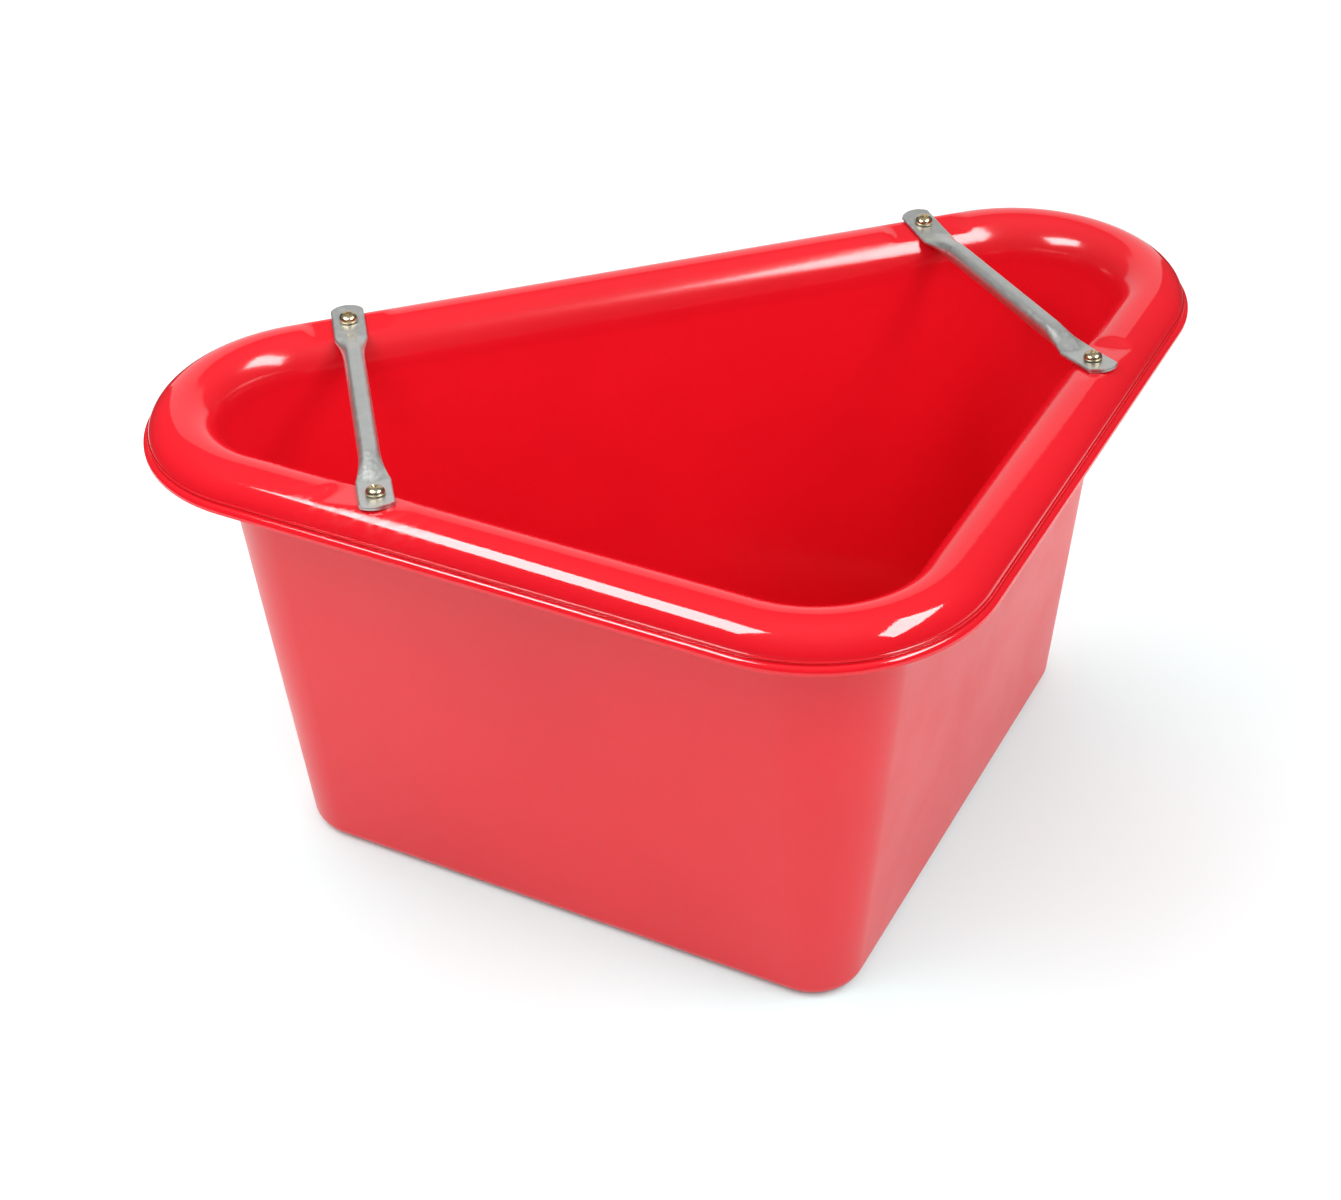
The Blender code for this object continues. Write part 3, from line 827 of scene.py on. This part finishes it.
def softbox(name, centre, away, across, size, radiance, gloss_radiance):
    """A rectangular area light whose back faces along away and whose width runs along across.

    It is made twice, once for what it lights and once for how bright it shows in gloss."""
    centre, away, across = Vector(centre), Vector(away).normalized(), Vector(across)
    across = (across - away * across.dot(away)).normalized()
    turn = Matrix((across, away.cross(across), away)).transposed().to_4x4()
    for suffix, brightness in (("", radiance), ("_gloss", gloss_radiance)):
        data = bpy.data.lights.new(name + suffix, "AREA")
        data.shape = "RECTANGLE"
        data.size, data.size_y = size
        data.energy = brightness * pi * size[0] * size[1]
        made = bpy.data.objects.new(name + suffix, data)
        bpy.context.scene.collection.objects.link(made)
        ahead = away * (LIGHT_GAP if suffix else 0)
        made.matrix_world = Matrix.Translation(centre - ahead) @ turn
        made.visible_camera = False
        made.visible_glossy = suffix == "_gloss"
        made.visible_diffuse = suffix == ""


BACKDROP_AZIMUTH = 163.5
BACKDROP_HALF_WIDTH = tan(radians(26.5))
BACKDROP_TOP = tan(radians(38))
BACKDROP_RADIANCE = 0.85
BACKDROP_SOFT = 0.01  # softness of its side edges; the top edge is twice as soft


def behind(g, direction):
    """1 toward the backdrop and 0 elsewhere, and how far the direction runs along its heading."""
    ahead = g.math("MAXIMUM", g.dot(direction, heading(BACKDROP_AZIMUTH)), 0.001)
    beside = g.math("DIVIDE", g.dot(direction, heading(BACKDROP_AZIMUTH - 90)), ahead)
    low, high = BACKDROP_HALF_WIDTH - BACKDROP_SOFT, BACKDROP_HALF_WIDTH + BACKDROP_SOFT
    return g.ramp(g.math("ABSOLUTE", beside), low, high, 1, 0), ahead


FLOOR_HALF = 8.0
FLOOR_DROP = 0.0002
FLOOR_IN_GLOSS = (0.75, 1.0)  # beyond this the floor shows dark in gloss, or as bright as the backdrop
BOUNCE_REACH = 0.20  # how far the tub's red glow carries on the floor
BOUNCE_BACK = (0.0, 0.25)  # it fades out between these places in Y
BOUNCE_SIDES = (-0.1, 0.3)  # the left tint gives way to the right one between these places in X
LEFT_TINT = (0.73, 0.93, 0.93, 1)
RIGHT_TINT = (0.65, 0.83, 0.83, 1)
FLOOR_DARK = (0.05, 0.05, 0.05, 1)


def floor():
    """A white floor, short of red near the tub, so that the tub's glow leaves its shadow neutral."""
    bm = bmesh.new()
    spots = [(-1, -1), (1, -1), (1, 1), (-1, 1)]
    bm.faces.new([bm.verts.new((x * FLOOR_HALF, y * FLOOR_HALF, -FLOOR_DROP)) for x, y in spots])
    g = material("white_sweep")
    edges = []
    for normal, reach in zip(NORMALS, REACH):
        edges.append(g.math("SUBTRACT", g.dot(g.coordinates, (*normal, 0)), reach - CENTRE_Y * normal[1]))
    outside = g.math("MAXIMUM", g.math("MAXIMUM", edges[0], edges[1]), edges[2])
    glow = g.math("EXPONENT", g.math("DIVIDE", g.math("MAXIMUM", outside, 0.0), -BOUNCE_REACH))
    tone = g.mix(g.ramp(g.noise(0.6), 0.3, 0.7, 0, 1), (0.90, 0.90, 0.90, 1), (0.88, 0.88, 0.88, 1))
    far = g.ramp(g.length(g.coordinates), *FLOOR_IN_GLOSS, 0, 1)
    far = g.math("MULTIPLY", far, g.node("ShaderNodeLightPath").outputs["Is Glossy Ray"])
    spot = g.node("ShaderNodeSeparateXYZ", {"Vector": g.coordinates}).outputs
    side = g.ramp(spot["X"], *BOUNCE_SIDES, 0, 1)
    glow = g.math("MULTIPLY", glow, g.ramp(spot["Y"], *BOUNCE_BACK, 1, 0))
    color = g.mix(far, g.mix(glow, tone, g.mix(side, LEFT_TINT, RIGHT_TINT)), FLOOR_DARK)
    backdrop = g.math("MULTIPLY", far, behind(g, g.coordinates)[0])
    g.set(color=color, roughness=0.9, specular=0.1)
    g.set(glow=(1, 1, 1, 1), glow_strength=g.math("MULTIPLY", backdrop, BACKDROP_RADIANCE))
    made = new_object("studio_floor", bm, [g.owner])


# The room's brightness by the sine of the elevation: as seen in gloss, and as it lights matt surfaces
ROOM_IN_GLOSS = (
    (0.0, 0.09), (0.42, 0.16), (0.57, 0.20), (0.71, 0.27), (0.82, 0.36), (0.91, 0.48), (1.0, 0.62),
)
ROOM_LIGHT = ((0.0, 0.62), (0.42, 1.05), (0.6, 1.4), (0.8, 1.9), (0.9, 0.8), (1.0, 0.3))
ROOM_SCALE = 2.0  # keeps the ramp's colours under one


def world():
    """A studio that is dim at the sides, brightens overhead, and has a white backdrop behind the object."""
    made = bpy.data.worlds.new("studio")
    g = Graph(made)
    made.cycles.sampling_method = "NONE"
    direction = g.places["Generated"]
    height = g.node("ShaderNodeSeparateXYZ", {"Vector": direction}).outputs["Z"]

    def room(table):
        ramp = g.node("ShaderNodeValToRGB", {"Fac": height})
        elements = ramp.color_ramp.elements
        while len(elements) < len(table):
            elements.new(0.5)
        for element, (position, radiance) in zip(elements, table):
            element.position = position
            element.color = (*[radiance / ROOM_SCALE] * 3, 1)
        return ramp.outputs["Color"]

    narrow, ahead = behind(g, direction)
    above = g.math("DIVIDE", height, ahead)
    low = g.ramp(above, BACKDROP_TOP - 2 * BACKDROP_SOFT, BACKDROP_TOP + 2 * BACKDROP_SOFT, 1, 0)
    white = (*[BACKDROP_RADIANCE / ROOM_SCALE] * 3, 1)
    rays = g.node("ShaderNodeLightPath").outputs
    lit = g.mix(rays["Is Diffuse Ray"], room(ROOM_IN_GLOSS), room(ROOM_LIGHT))
    color = g.mix(g.math("MULTIPLY", narrow, low), lit, white)
    background = g.tree.nodes["Background"]
    g.put(background.inputs["Color"], g.mix(rays["Is Camera Ray"], color, (*[1 / ROOM_SCALE] * 3, 1)))
    background.inputs["Strength"].default_value = ROOM_SCALE
    bpy.context.scene.world = made


# Name, centre, away, across, size, radiance and radiance in gloss
SOFTBOXES = (
    (
        "left_softbox", (-0.634, -0.026, 1.132), (-0.166, -0.483, 0.86), (0.397, -0.831, -0.39),
        (0.76, 0.40), 4.8, 19,
    ),
    (
        "right_softbox", (1.737, -1.633, 3.365), (0.989, -0.11, 0.101), (0.114, 0.993, -0.03),
        (2.87, 1.78), 5.4, 18,
    ),
)


def stage():
    floor()
    world()
    for row in SOFTBOXES:
        softbox(*row)
    bpy.context.scene.view_settings.view_transform = "Standard"
    bpy.context.scene.view_settings.look = "None"
    camera()


gloss, satin = red_gloss(), red_satin()
tub(gloss, satin)
zinc = zinc_tube()
for side in ("left", "right"):
    bar(side, zinc)
yellow, steel, blue = yellow_zinc(), zinc_hardware(), nylon()
for bolt_name in BOLTS:
    screw(bolt_name, yellow)
    washer(bolt_name, steel)
    nut(bolt_name, steel)
    insert(bolt_name, blue)
stage()
